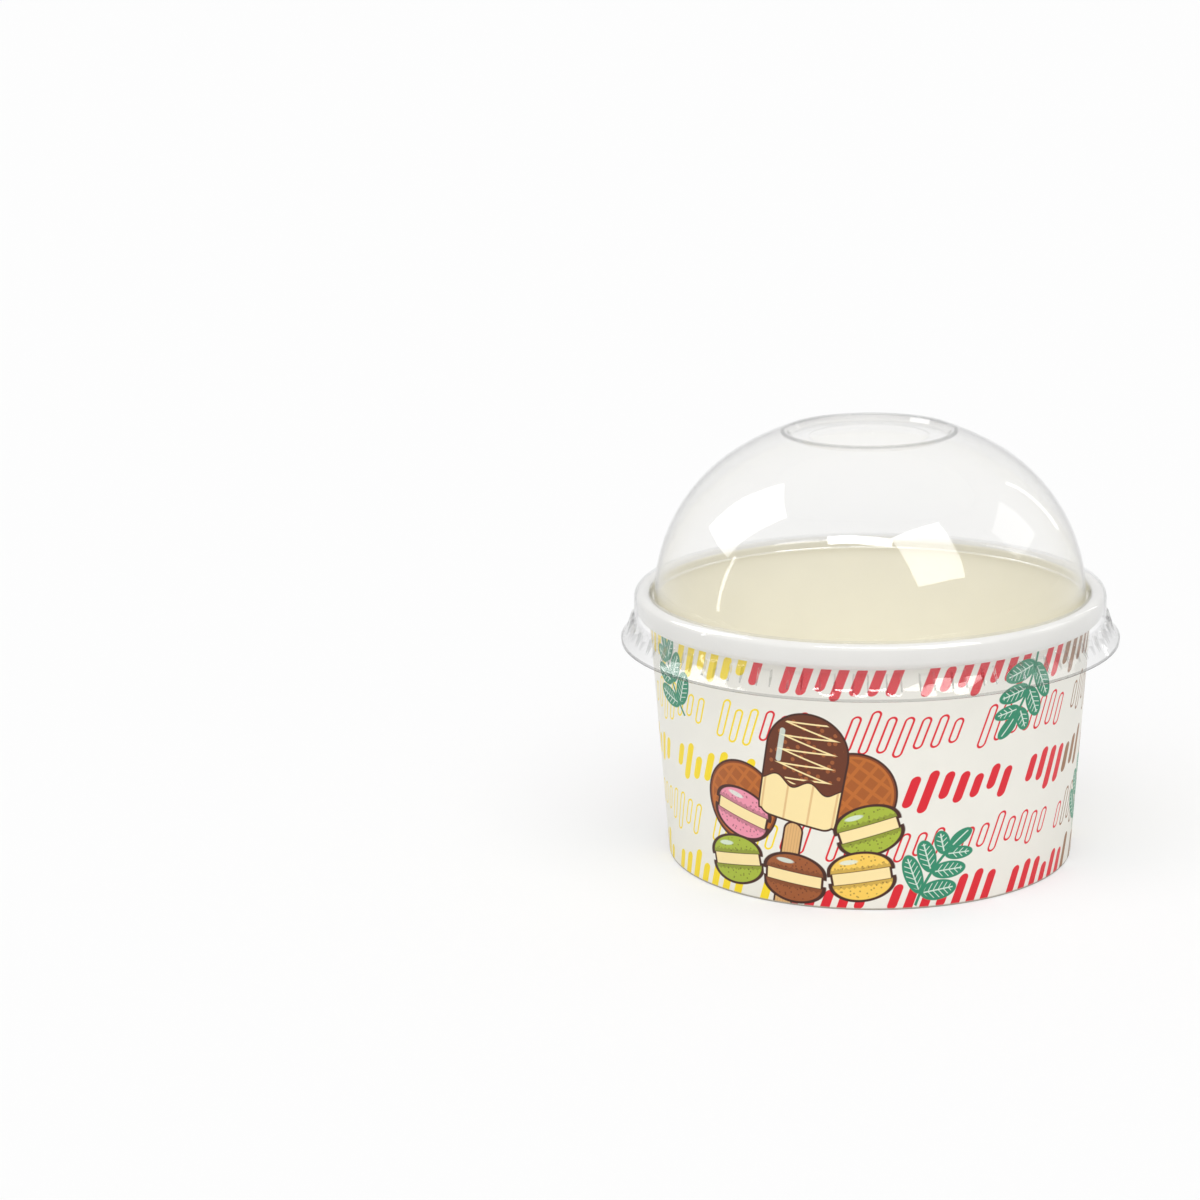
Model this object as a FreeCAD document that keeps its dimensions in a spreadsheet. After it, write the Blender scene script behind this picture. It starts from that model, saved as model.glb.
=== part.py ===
import FreeCAD, Part
import math
import os
import Sketcher

# A single-use dessert cup: a wrapped paper wall with a rolled rim, a recessed paper bottom and a clear
# domed lid. The cup stands on z = 0, its axis is Z, the seam of its wall is at the back, on +Y, and
# all lengths are in millimetres. Sections are drawn as radius and height and turned about the axis.

doc = FreeCAD.newDocument("dessert_cup")

# Driving dimensions
sizes = doc.addObject("Spreadsheet::Sheet", "sizes")
DIMENSIONS = {
    # paper wall
    "rim_diameter": 94.0,  # over the rolled rim
    "cup_height": 54.7,  # foot to the top of the rolled rim
    "wall_lean": 4.0,  # degrees from upright
    "wall_paper": 0.4,  # thickness of the wall's board
    "roll_width": 2.6,  # rolled rim, across
    "roll_drop": 2.3,  # between the centres of its upper and lower bends
    "tail_length": 0.9,  # end of the board tucked up inside the roll
    "glue_gap": 0.03,  # between boards pressed together
    "foot_bend": 0.35,  # outer radius of the foot's two bends, with a flat between them
    "fold_length": 5.6,  # wall turned in and up behind the bottom's skirt
    "seam_width": 7.0,  # overlap of the wall's two ends
    "seam_step": 0.25,  # how far the upper end stands out
    "seam_margin": 0.6,  # bare wall above and below the step
    # paper bottom
    "disc_paper": 0.35,
    "foot_recess": 7.0,  # table to the underside of the bottom
    "disc_bend": 0.8,  # outer radius of the bend into its skirt
    "skirt_lift": 0.3,  # skirt's raw edge above the middle of the wall's foot
    # clear lid
    "lid_sheet": 0.3,
    "lid_clearance": 0.25,  # between the lid's channel and the rolled rim
    "groove_width": 0.35,  # between the dome's foot and the wall of the channel inside the rim
    "dome_seat": 1.9,  # dome's widest line below the top of the rim
    "dome_rise": 37.3,  # widest line to where the dome would close
    "dome_flatness": 2.5,  # rise less the radius of the dome's side
    "crest_diameter": 33.8,  # ring round the recessed top
    "crest_radius": 0.8,
    "recess_depth": 1.2,  # crest to the flat round the hole
    "recess_slope": 50.0,  # degrees, of the step down from the crest
    "recess_radius": 0.5,
    "hole_diameter": 24.0,
    "channel_depth": 4.7,  # rim's top to the end of the straight channel
    "waist_depth": 6.7,
    "waist_flare": 0.4,
    "knee_depth": 8.4,
    "knee_flare": 1.7,
    "skirt_depth": 10.1,  # rim's top to the lid's lower edge
    "brim_flare": 2.75,
    "lip_height": 0.6,
    # pads pressed out of the lid's skirt
    "pad_count": 48,
    "pad_angle": 3.7,  # degrees across one pad
    "pad_first": 5.6,  # degrees from the front to one pad's middle
    "pad_top": 0.5,  # pad's upper edge below the straight channel
    "pad_step": 0.8,  # pad's ledge beyond the channel
    "pad_ledge": 0.3,  # fall across the ledge
}
for row, (alias, value) in enumerate(DIMENSIONS.items(), 1):
    sizes.set(f"A{row}", alias)
    sizes.set(f"B{row}", str(value))
    sizes.setAlias(f"B{row}", alias)
doc.recompute()


def worked(formula):
    """Value of a formula of the sheet's names"""
    return float(sizes.evalExpression(formula))


def new_body(name, label):
    body = doc.addObject("PartDesign::Body", name)
    body.Label = label
    body.Placement = FreeCAD.Placement()
    return body


def origin_feature(body, role):
    return next(f for f in body.Origin.OriginFeatures if f.Role == role)


def new_sketch(body, name, plane):
    sketch = body.newObject("Sketcher::SketchObject", name)
    sketch.AttachmentSupport = [(origin_feature(body, plane), "")]
    sketch.MapMode = "FlatFace"
    return sketch


def corner(across, up, free=()):
    """Corner of an outline. None as its radius puts it on the axis."""
    return {"kind": "corner", "across": across, "up": up, "free": free}


def bend(across, up, radius, first, last, free=()):
    """Arc of an outline, from angle first to angle last. What free names is left to its tangents."""
    return {
        "kind": "bend",
        "across": across,
        "up": up,
        "radius": radius,
        "first": first,
        "last": last,
        "free": free,
    }


def draw_outline(sketch, nodes):
    """Closed outline through corners and bends, with straight lines between, each size bound to the sheet"""
    ends = []
    for node in nodes:
        x = worked(node["across"]) if node["across"] else 0.0
        y = worked(node["up"])
        if node["kind"] == "corner":
            ends.append((FreeCAD.Vector(x, y, 0), FreeCAD.Vector(x, y, 0)))
            continue
        radius = worked(node["radius"])
        first = math.radians(worked(node["first"]))
        last = math.radians(worked(node["last"]))
        spokes = [FreeCAD.Vector(radius * math.cos(a), radius * math.sin(a), 0) for a in (first, last)]
        centre = FreeCAD.Vector(x, y, 0)
        ends.append((centre + spokes[0], centre + spokes[1]))
        circle = Part.Circle(centre, FreeCAD.Vector(0, 0, 1), radius)
        arc = Part.ArcOfCircle(circle, min(first, last), max(first, last))
        node["geometry"] = sketch.addGeometry(arc, False)
        node["enter"], node["leave"] = (1, 2) if last > first else (2, 1)

    def bind(constraint, formula):
        number = sketch.addConstraint(constraint)
        sketch.setExpression(f"Constraints[{number}]", formula)

    for number, node in enumerate(nodes):
        after = (number + 1) % len(nodes)
        start, stop = ends[number][1], ends[after][0]
        node["line"] = None
        if (start - stop).Length > 1e-3:
            node["line"] = sketch.addGeometry(Part.LineSegment(start, stop), False)

    for number, node in enumerate(nodes):
        before, line_in = nodes[number - 1], nodes[number - 1]["line"]
        if node["kind"] == "corner":
            sketch.addConstraint(Sketcher.Constraint("Coincident", line_in, 2, node["line"], 1))
            if node["across"] is None:
                sketch.addConstraint(Sketcher.Constraint("PointOnObject", node["line"], 1, -2))
            else:
                bind(Sketcher.Constraint("DistanceX", node["line"], 1, ends[number][1].x), node["across"])
            if "up" not in node["free"]:
                bind(Sketcher.Constraint("DistanceY", node["line"], 1, ends[number][1].y), node["up"])
            continue
        geometry = node["geometry"]
        if line_in is None:
            sketch.addConstraint(
                Sketcher.Constraint("Tangent", before["geometry"], before["leave"], geometry, node["enter"])
            )
        else:
            sketch.addConstraint(Sketcher.Constraint("Tangent", line_in, 2, geometry, node["enter"]))
        if node["line"] is not None:
            sketch.addConstraint(Sketcher.Constraint("Tangent", geometry, node["leave"], node["line"], 1))
        if node["across"] is None:
            sketch.addConstraint(Sketcher.Constraint("PointOnObject", geometry, 3, -2))
        elif "across" not in node["free"]:
            bind(Sketcher.Constraint("DistanceX", geometry, 3, worked(node["across"])), node["across"])
        if "up" not in node["free"]:
            bind(Sketcher.Constraint("DistanceY", geometry, 3, worked(node["up"])), node["up"])
        if "radius" not in node["free"]:
            bind(Sketcher.Constraint("Radius", geometry, worked(node["radius"])), node["radius"])


def turn(body, name, sketch, angle=None):
    """Sketch turned about the axis: all the way round, or by an angle shared to both sides"""
    feature = body.newObject("PartDesign::Revolution", name)
    feature.Profile = sketch
    feature.ReferenceAxis = (sketch, ["V_Axis"])
    feature.Angle = 360
    if angle:
        feature.Midplane = True
        feature.setExpression("Angle", angle)
    sketch.Visibility = False
    return feature


# Rolled rim and foot: the centres and radii that the boards and the lid share
LEAN = "sizes.wall_lean"
ROLL_RADIUS = "(sizes.roll_width / 2)"
ROLL_R = f"(sizes.rim_diameter / 2 - {ROLL_RADIUS})"
ROLL_Z = f"(sizes.cup_height - {ROLL_RADIUS})"
LOWER_RADIUS = (
    f"({ROLL_RADIUS} + (sizes.roll_drop * sin({LEAN}) - sizes.wall_paper - sizes.glue_gap)"
    f" / (1 + cos({LEAN})))"
)
LOWER_R = f"({ROLL_R} + {ROLL_RADIUS} - {LOWER_RADIUS})"
LOWER_Z = f"({ROLL_Z} - sizes.roll_drop)"
FOOT_RADIUS = "(sizes.wall_paper + sizes.glue_gap + sizes.disc_paper / 2)"
FOOT_Z = FOOT_RADIUS
FOOT_R = (
    f"({ROLL_R} - ({FOOT_RADIUS} + {ROLL_RADIUS} - sizes.wall_paper) / cos({LEAN})"
    f" - ({ROLL_Z} - {FOOT_Z}) * tan({LEAN}))"
)


def beside(centre_r, centre_z, along, out):
    """Radius and height of the point so far up the slope of the wall, and so far out from it"""
    across = f"({centre_r} + ({along}) * sin({LEAN}) + ({out}) * cos({LEAN}))"
    up = f"({centre_z} + ({along}) * cos({LEAN}) - ({out}) * sin({LEAN}))"
    return across, up


def in_foot(out, height):
    """Radius and height of the point so far out from the middle of the foot, at a given height"""
    along = f"(({height} - {FOOT_Z} + ({out}) * sin({LEAN})) / cos({LEAN}))"
    return beside(FOOT_R, FOOT_Z, along, out)[0], height


# Wall: one board from the fold inside the foot, up the side, over the rim and back under it
wall = new_body("cup_sidewall", "cup_sidewall")
wall_section = new_sketch(wall, "wall_section", "XZ_Plane")
FOOT_INNER = f"({FOOT_RADIUS} - sizes.wall_paper)"
FOOT_BEND = f"({FOOT_RADIUS} - sizes.foot_bend)"
ROLL_INNER = f"({ROLL_RADIUS} - sizes.wall_paper)"
LOWER_INNER = f"({LOWER_RADIUS} - sizes.wall_paper)"
draw_outline(
    wall_section,
    [
        corner(*beside(FOOT_R, FOOT_Z, "sizes.fold_length", f"-{FOOT_RADIUS}")),
        bend(*in_foot(f"-{FOOT_BEND}", "sizes.foot_bend"), "sizes.foot_bend", f"180 - {LEAN}", "270"),
        bend(*in_foot(FOOT_BEND, "sizes.foot_bend"), "sizes.foot_bend", "270", f"360 - {LEAN}"),
        bend(ROLL_R, ROLL_Z, ROLL_INNER, f"180 - {LEAN}", "0"),
        bend(LOWER_R, LOWER_Z, LOWER_INNER, "0", f"-180 - {LEAN}"),
        corner(*beside(LOWER_R, LOWER_Z, "sizes.tail_length", f"-{LOWER_INNER}")),
        corner(*beside(LOWER_R, LOWER_Z, "sizes.tail_length", f"-{LOWER_RADIUS}")),
        bend(LOWER_R, LOWER_Z, LOWER_RADIUS, f"-180 - {LEAN}", "0"),
        bend(ROLL_R, ROLL_Z, ROLL_RADIUS, "0", f"180 - {LEAN}"),
        corner(*in_foot(FOOT_INNER, "sizes.wall_paper")),
        corner(*in_foot(f"-{FOOT_INNER}", "sizes.wall_paper")),
        corner(*beside(FOOT_R, FOOT_Z, "sizes.fold_length", f"-{FOOT_INNER}")),
    ],
)
turn(wall, "wall_turned", wall_section)

# Seam: the upper end of the wrapped board stands out over the lower one at the back
seam_section = new_sketch(wall, "seam_section", "YZ_Plane")
SEAM_LOW = "sizes.seam_margin"
SEAM_HIGH = f"(({LOWER_Z} - {LOWER_RADIUS} - {FOOT_Z}) / cos({LEAN}) - sizes.seam_margin)"
SEAM_IN = f"({FOOT_RADIUS} - sizes.wall_paper / 2)"
SEAM_OUT = f"({FOOT_RADIUS} + sizes.seam_step)"
draw_outline(
    seam_section,
    [
        corner(*beside(FOOT_R, FOOT_Z, SEAM_LOW, SEAM_IN)),
        corner(*beside(FOOT_R, FOOT_Z, SEAM_LOW, SEAM_OUT)),
        corner(*beside(FOOT_R, FOOT_Z, SEAM_HIGH, SEAM_OUT)),
        corner(*beside(FOOT_R, FOOT_Z, SEAM_HIGH, SEAM_IN)),
    ],
)
turn(wall, "seam_turned", seam_section, f"sizes.seam_width / (({FOOT_R} + {ROLL_R}) / 2) * 180 / pi")

# Bottom: a disc with its edge bent down into a skirt, held between the wall and its turned-in fold
disc = new_body("bottom_disc", "bottom_disc")
disc_section = new_sketch(disc, "disc_section", "XZ_Plane")
DISC_TOP = "(sizes.foot_recess + sizes.disc_paper)"
BEND_IN = "(sizes.disc_bend - sizes.disc_paper / 2)"
BEND_ALONG = (
    f"(({DISC_TOP} - sizes.disc_bend - {FOOT_Z} - {BEND_IN} * sin({LEAN})) / cos({LEAN}))"
)
BEND_CENTRE = beside(FOOT_R, FOOT_Z, BEND_ALONG, f"-{BEND_IN}")
draw_outline(
    disc_section,
    [
        corner(None, DISC_TOP),
        bend(*BEND_CENTRE, "sizes.disc_bend", "90", f"-{LEAN}"),
        corner(*beside(FOOT_R, FOOT_Z, "sizes.skirt_lift", "sizes.disc_paper / 2")),
        corner(*beside(FOOT_R, FOOT_Z, "sizes.skirt_lift", "-sizes.disc_paper / 2")),
        bend(*BEND_CENTRE, "(sizes.disc_bend - sizes.disc_paper)", f"-{LEAN}", "90"),
        corner(None, "sizes.foot_recess"),
    ],
)
turn(disc, "disc_turned", disc_section)

# Lid: one clear sheet from the hole's edge over the dome, down into a groove inside the rim, over the
# rim and down its outside, and out into a flared skirt
lid = new_body("dome_lid", "dome_lid")
lid_section = new_sketch(lid, "lid_section", "XZ_Plane")
DOME_Z = "(sizes.cup_height - sizes.dome_seat)"
SHOULDER_IN = f"({ROLL_RADIUS} + sizes.lid_clearance)"
SHOULDER_OUT = f"({SHOULDER_IN} + sizes.lid_sheet)"
CHANNEL_R = f"({ROLL_R} + {SHOULDER_OUT})"
GROOVE_RADIUS = "(sizes.groove_width / 2)"
GROOVE_R = f"({ROLL_R} - {SHOULDER_OUT} - {GROOVE_RADIUS})"
DOME_R = f"({GROOVE_R} - {GROOVE_RADIUS})"
SIDE_RADIUS = "(sizes.dome_rise - sizes.dome_flatness)"
SIDE_R = f"({DOME_R} - {SIDE_RADIUS})"
TOP_RADIUS = (
    f"(({SIDE_R} * {SIDE_R} + sizes.dome_rise * sizes.dome_rise - {SIDE_RADIUS} * {SIDE_RADIUS})"
    " / (2 * sizes.dome_flatness))"
)
TOP_Z = f"({DOME_Z} + sizes.dome_rise - {TOP_RADIUS})"
DOME_JOIN = f"(atan(({DOME_Z} - {TOP_Z}) / {SIDE_R}))"
CREST_R = "(sizes.crest_diameter / 2)"
CREST_REACH = f"({TOP_RADIUS} - sizes.crest_radius)"
CREST_Z = f"({TOP_Z} + sqrt({CREST_REACH} * {CREST_REACH} - {CREST_R} * {CREST_R}))"
CREST_JOIN = f"(acos({CREST_R} / {CREST_REACH}))"
HOLE_Z = f"({CREST_Z} + sizes.crest_radius - sizes.recess_depth)"
STEP_TOP = "(90 + sizes.recess_slope)"
STEP_FOOT = "(270 + sizes.recess_slope)"
STEP_BENDS = "(sizes.crest_radius + sizes.recess_radius)"
RECESS_R = (
    f"({CREST_R} - ({STEP_BENDS} * (1 - cos(sizes.recess_slope))"
    " + sizes.recess_depth * cos(sizes.recess_slope)) / sin(sizes.recess_slope))"
)
RECESS_Z = f"({HOLE_Z} + sizes.recess_radius)"
SKIRT = [
    (CHANNEL_R, "(sizes.cup_height - sizes.channel_depth)"),
    (f"({CHANNEL_R} + sizes.waist_flare)", "(sizes.cup_height - sizes.waist_depth)"),
    (f"({CHANNEL_R} + sizes.knee_flare)", "(sizes.cup_height - sizes.knee_depth)"),
    (
        f"({CHANNEL_R} + sizes.brim_flare)",
        "(sizes.cup_height - sizes.skirt_depth + sizes.lip_height)",
    ),
    (f"({CHANNEL_R} + sizes.brim_flare)", "(sizes.cup_height - sizes.skirt_depth)"),
]
crest_out = bend(CREST_R, CREST_Z, "sizes.crest_radius", STEP_TOP, CREST_JOIN, ("up",))
crest_in = bend(
    CREST_R,
    CREST_Z,
    "(sizes.crest_radius - sizes.lid_sheet)",
    CREST_JOIN,
    STEP_TOP,
    ("across", "up", "radius"),
)
draw_outline(
    lid_section,
    [
        corner("sizes.hole_diameter / 2", HOLE_Z),
        bend(RECESS_R, RECESS_Z, "sizes.recess_radius", "270", STEP_FOOT),
        crest_out,
        bend(None, TOP_Z, TOP_RADIUS, CREST_JOIN, DOME_JOIN, ("radius",)),
        bend(SIDE_R, DOME_Z, SIDE_RADIUS, DOME_JOIN, "0"),
        bend(GROOVE_R, DOME_Z, GROOVE_RADIUS, "180", "360", ("radius",)),
        bend(ROLL_R, ROLL_Z, SHOULDER_OUT, "180", "0"),
        *[corner(r, z) for r, z in SKIRT],
        *[corner(f"({r} - sizes.lid_sheet)", z) for r, z in reversed(SKIRT)],
        bend(ROLL_R, ROLL_Z, SHOULDER_IN, "0", "180"),
        bend(GROOVE_R, DOME_Z, f"({GROOVE_RADIUS} + sizes.lid_sheet)", "360", "180", ("radius",)),
        bend(SIDE_R, DOME_Z, f"({SIDE_RADIUS} - sizes.lid_sheet)", "0", DOME_JOIN),
        bend(None, TOP_Z, f"({TOP_RADIUS} - sizes.lid_sheet)", DOME_JOIN, CREST_JOIN, ("radius",)),
        crest_in,
        bend(RECESS_R, RECESS_Z, "(sizes.recess_radius + sizes.lid_sheet)", STEP_FOOT, "270"),
        corner("sizes.hole_diameter / 2", f"({HOLE_Z} - sizes.lid_sheet)"),
    ],
)
lid_section.addConstraint(
    Sketcher.Constraint("Coincident", crest_in["geometry"], 3, crest_out["geometry"], 3)
)
turn(lid, "lid_turned", lid_section)

# Pads round the skirt, just under the rim: each is pressed out of the sheet, with a flat ledge on top
# and sides that run out at the skirt's knee, and hollow behind
(waist_r, waist_z), (knee_r, knee_z) = SKIRT[1:3]
PAD_R = f"({CHANNEL_R} + sizes.pad_step)"
PAD_Z = "(sizes.cup_height - sizes.channel_depth - sizes.pad_top)"
pad_section = new_sketch(lid, "pad_section", "XZ_Plane")
draw_outline(
    pad_section,
    [
        corner(f"({CHANNEL_R} - sizes.lid_sheet / 2)", PAD_Z),
        corner(PAD_R, f"({PAD_Z} - sizes.pad_ledge)"),
        corner(f"({knee_r} - sizes.lid_sheet / 4)", knee_z),
        corner(f"({waist_r} - sizes.lid_sheet / 2)", waist_z),
    ],
)
hollow_section = new_sketch(lid, "hollow_section", "XZ_Plane")
draw_outline(
    hollow_section,
    [
        corner(f"({CHANNEL_R} - 2 * sizes.lid_sheet)", f"({PAD_Z} - sizes.lid_sheet)"),
        corner(f"({PAD_R} - sizes.lid_sheet)", f"({PAD_Z} - sizes.pad_ledge - sizes.lid_sheet)"),
        corner(f"({knee_r} - 5 / 4 * sizes.lid_sheet)", knee_z),
        corner(f"({waist_r} - 2 * sizes.lid_sheet)", waist_z),
    ],
)
for section in (pad_section, hollow_section):
    section.AttachmentOffset = FreeCAD.Placement(
        FreeCAD.Vector(), FreeCAD.Rotation(FreeCAD.Vector(0, 1, 0), 1)
    )
    section.setExpression("AttachmentOffset.Rotation.Angle", "sizes.pad_first - 90")
pad = turn(lid, "pad_turned", pad_section, "sizes.pad_angle")
hollow = lid.newObject("PartDesign::Groove", "pad_hollow")
hollow.Profile = hollow_section
hollow.ReferenceAxis = (hollow_section, ["V_Axis"])
hollow.Midplane = True
hollow.setExpression("Angle", f"sizes.pad_angle - 2 * sizes.lid_sheet / {PAD_R} * 180 / pi")
hollow_section.Visibility = False
doc.recompute()
pads = lid.newObject("PartDesign::PolarPattern", "pads")
pads.Originals = [pad, hollow]
pads.Axis = (origin_feature(lid, "Z_Axis"), [""])
pads.Angle = 360
pads.setExpression("Occurrences", "sizes.pad_count")
lid.Tip = pads

doc.recompute()
bodies = [wall, disc, lid]
for item in doc.Objects:
    if "Invalid" in item.State or "Error" in item.State:
        raise RuntimeError(f"{item.Name} failed: {item.State}")
os.makedirs("parts", exist_ok=True)
for body in bodies:
    if body.Shape.isNull() or not body.Shape.isValid():
        raise RuntimeError(f"{body.Label} has no valid shape")
    body.Shape.exportStep(f"parts/{body.Label}.step")
    box = body.Shape.BoundBox
    print(body.Label, len(body.Shape.Solids), round(body.Shape.Volume, 1), box)
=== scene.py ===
import math

import bpy
from mathutils import Matrix, Vector


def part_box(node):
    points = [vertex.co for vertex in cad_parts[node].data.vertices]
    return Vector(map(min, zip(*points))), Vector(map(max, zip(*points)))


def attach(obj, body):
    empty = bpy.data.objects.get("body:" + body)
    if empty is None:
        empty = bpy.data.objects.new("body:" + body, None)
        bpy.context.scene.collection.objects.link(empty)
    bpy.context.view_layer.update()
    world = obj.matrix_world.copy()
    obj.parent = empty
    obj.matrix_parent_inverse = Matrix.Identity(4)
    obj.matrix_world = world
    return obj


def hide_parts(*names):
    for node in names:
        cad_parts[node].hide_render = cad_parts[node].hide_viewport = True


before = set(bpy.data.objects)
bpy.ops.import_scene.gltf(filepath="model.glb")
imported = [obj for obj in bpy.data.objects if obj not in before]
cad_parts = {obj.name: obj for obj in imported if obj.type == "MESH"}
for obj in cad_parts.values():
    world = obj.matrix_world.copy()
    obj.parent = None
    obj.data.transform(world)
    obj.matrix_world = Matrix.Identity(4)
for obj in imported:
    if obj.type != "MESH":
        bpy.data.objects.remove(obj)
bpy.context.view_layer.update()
MM = 0.001

# Side wall. The cup's side is one sheet of coated paperboard, printed on the outside and cream on
# the inside. It is wrapped to a cone, lapped and sealed at the back, turned in under the bottom and
# rolled outwards into the rim.
WALL_LEAN = math.radians(4.0)
BOARD = 0.4  # thickness of the wall's board
ROLL_OUTER = 1.3  # outer radius of the rim's upper bend
ROLL_DROP = 2.3  # from the middle of the rim's upper bend down to that of its lower one
GLUE_GAP = 0.03  # between two layers of board
TAIL = 0.9  # straight end of the roll, tucked against the wall
FOOT_CORNER = 0.35  # outer radius of the two bends under the foot
DISC_BOARD = 0.35  # thickness of the bottom's board
FOLD = 5.6  # how far the wall goes up again inside the foot
SEAM_STEPS = 3  # half the width of the lap, in steps of the wall's turn
SEAM_OUT = 0.07  # how far the lap stands out of the wall
SEAM_EDGE = 0.05  # width of its sloping edge
SEAM_MARGIN = 0.6  # bare wall above and below the lap
WALL_STEPS = 240
SAME_POINT = MM / 1000
SHARP_FROM = math.radians(40)

_, wall_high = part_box("cup_sidewall")
rim_reach = wall_high.x / MM
roll_r = rim_reach - ROLL_OUTER
roll_z = wall_high.z / MM - ROLL_OUTER
lower_shift = (ROLL_DROP * math.sin(WALL_LEAN) - BOARD - GLUE_GAP) / (1 + math.cos(WALL_LEAN))
lower_outer = ROLL_OUTER + lower_shift
lower_r = roll_r + ROLL_OUTER - lower_outer
lower_z = roll_z - ROLL_DROP
foot_half = BOARD + GLUE_GAP + DISC_BOARD / 2
foot_z = foot_half
foot_r = (
    roll_r
    - (foot_half + ROLL_OUTER - BOARD) / math.cos(WALL_LEAN)
    - (roll_z - foot_z) * math.tan(WALL_LEAN)
)


def up_wall(r, z, along, out):
    """Radius and height of the point so far up the wall's slope, and so far out from it"""
    return (
        r + along * math.sin(WALL_LEAN) + out * math.cos(WALL_LEAN),
        z + along * math.cos(WALL_LEAN) - out * math.sin(WALL_LEAN),
    )


def at_height(out, height):
    """Point so far out from the middle of the foot, at a given height"""
    along = (height - foot_z + out * math.sin(WALL_LEAN)) / math.cos(WALL_LEAN)
    return up_wall(foot_r, foot_z, along, out)


def arc(centre, radius, first, last, steps):
    """Points of a bend round centre, from angle first to angle last in degrees"""
    turns = [math.radians(first + (last - first) * i / steps) for i in range(steps + 1)]
    return [(centre[0] + radius * math.cos(a), centre[1] + radius * math.sin(a)) for a in turns]


def draw(name, outline):
    """A line drawn corner by corner, as (radius, height) in mm, ready in edit mode to be spun"""
    bpy.ops.object.select_all(action="DESELECT")
    first = Vector((outline[0][0], 0, outline[0][1])) * MM
    bpy.ops.mesh.primitive_plane_add(size=MM, location=first)
    piece = bpy.context.object
    piece.name = name
    bpy.ops.object.transform_apply(location=True)
    bpy.ops.object.mode_set(mode="EDIT")
    bpy.ops.mesh.select_mode(type="VERT")
    bpy.ops.mesh.select_all(action="SELECT")
    bpy.ops.mesh.merge(type="CENTER")
    for (r0, z0), (r1, z1) in zip(outline, outline[1:]):
        step = Vector((r1 - r0, 0, z1 - z0)) * MM
        bpy.ops.mesh.extrude_region_move(TRANSFORM_OT_translate={"value": step})
    bpy.ops.mesh.select_all(action="SELECT")
    bpy.ops.mesh.remove_doubles(threshold=SAME_POINT)
    bpy.ops.mesh.select_all(action="SELECT")
    return piece


def spin(turn, steps, copies=False):
    """Turns what is selected about the cup's axis, by an angle in degrees"""
    bpy.ops.mesh.spin(
        steps=steps, dupli=copies, angle=-math.radians(turn), center=(0, 0, 0), axis=(0, 0, 1)
    )


def close_turn(gap):
    """Joins the ends of a full turn, points within a gap of each other, and faces it outwards"""
    bpy.ops.mesh.select_all(action="SELECT")
    bpy.ops.mesh.remove_doubles(threshold=gap)
    bpy.ops.mesh.normals_make_consistent(inside=False)


def smooth():
    """Ends the shaping of a piece: its bends look round and its corners stay sharp"""
    bpy.ops.object.mode_set(mode="OBJECT")
    bpy.ops.object.shade_smooth_by_angle(angle=SHARP_FROM)


def pick_faces(piece, wanted):
    """Selects the faces whose middle and normal pass a test, and nothing else"""
    bpy.ops.object.mode_set(mode="EDIT")
    bpy.ops.mesh.select_mode(type="FACE")
    bpy.ops.mesh.select_all(action="DESELECT")
    bpy.ops.object.mode_set(mode="OBJECT")
    for face in piece.data.polygons:
        face.select = wanted(face.center, face.normal)
    bpy.ops.object.mode_set(mode="EDIT")


class Tone:
    """A socket of a material. Sums on tones add Math nodes, and node() adds any other kind"""

    def __init__(self, socket):
        self.socket = socket

    def node(self, kind, settings=(), inputs=(), output=0):
        """Adds a node, sets its settings and then its sockets, and gives one of its outputs"""
        tree = self.socket.id_data
        new = tree.nodes.new("ShaderNode" + kind)
        for name, value in dict(settings).items():
            setattr(new, name, value)
        for name, value in dict(inputs).items():
            if isinstance(value, Tone):
                tree.links.new(value.socket, new.inputs[name])
            else:
                new.inputs[name].default_value = value
        return Tone(new.outputs[output])

    def maths(self, operation, *others):
        """A Math node on this tone and others"""
        return self.node("Math", {"operation": operation}, enumerate((self, *others)))

    def __add__(self, other):
        return self.maths("ADD", other)

    def __radd__(self, other):
        return self + other

    def __sub__(self, other):
        return self.maths("SUBTRACT", other)

    def __rsub__(self, other):
        return -self + other

    def __mul__(self, other):
        return self.maths("MULTIPLY", other)

    def __rmul__(self, other):
        return self * other

    def __truediv__(self, other):
        return self.maths("DIVIDE", other)

    def __pow__(self, other):
        return self.maths("POWER", other)

    def __neg__(self):
        return self * -1

    def __abs__(self):
        return self.maths("ABSOLUTE")

    def clamped(self):
        """The same tone, kept between 0 and 1"""
        return self.node("Clamp", (), {"Value": self, "Min": 0, "Max": 1})

    def mix(self, below, above):
        """Colour below where this tone is 0, and above where it is 1"""
        return self.node("Mix", {"data_type": "RGBA"}, {0: self, 6: below, 7: above}, 2)


def finish(name):
    """A new material, its shader, and the place on the piece in mm, as a vector and as three tones"""
    material = bpy.data.materials.new(name)
    material.use_nodes = True
    shader = material.node_tree.nodes["Principled BSDF"]
    start = Tone(shader.outputs[0])
    place = start.node("TexCoord", output=3)
    place = start.node("VectorMath", {"operation": "SCALE"}, {0: place, "Scale": 1 / MM})
    x, y, z = (start.node("SeparateXYZ", (), {0: place}, axis) for axis in range(3))
    return material, shader, place, (x, y, z)


def wire(shader, **inputs):
    """Sets a shader's sockets, given by name with _ for a space, to values or tones"""
    for name, value in inputs.items():
        socket = shader.inputs[name.replace("_", " ")]
        if isinstance(value, Tone):
            shader.id_data.links.new(value.socket, socket)
        else:
            socket.default_value = value


def shade(red, green, blue):
    """A colour as it is seen, each part 0 to 255, as the linear one that a socket takes"""
    parts = [value / 255 for value in (red, green, blue)]
    return (*[((c + 0.055) / 1.055) ** 2.4 if c > 0.04 else c / 12.92 for c in parts], 1)


CLOUD_SCALE = 0.12
FIBRE_SCALE = 2.2
DARKEST = 0.955


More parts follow.
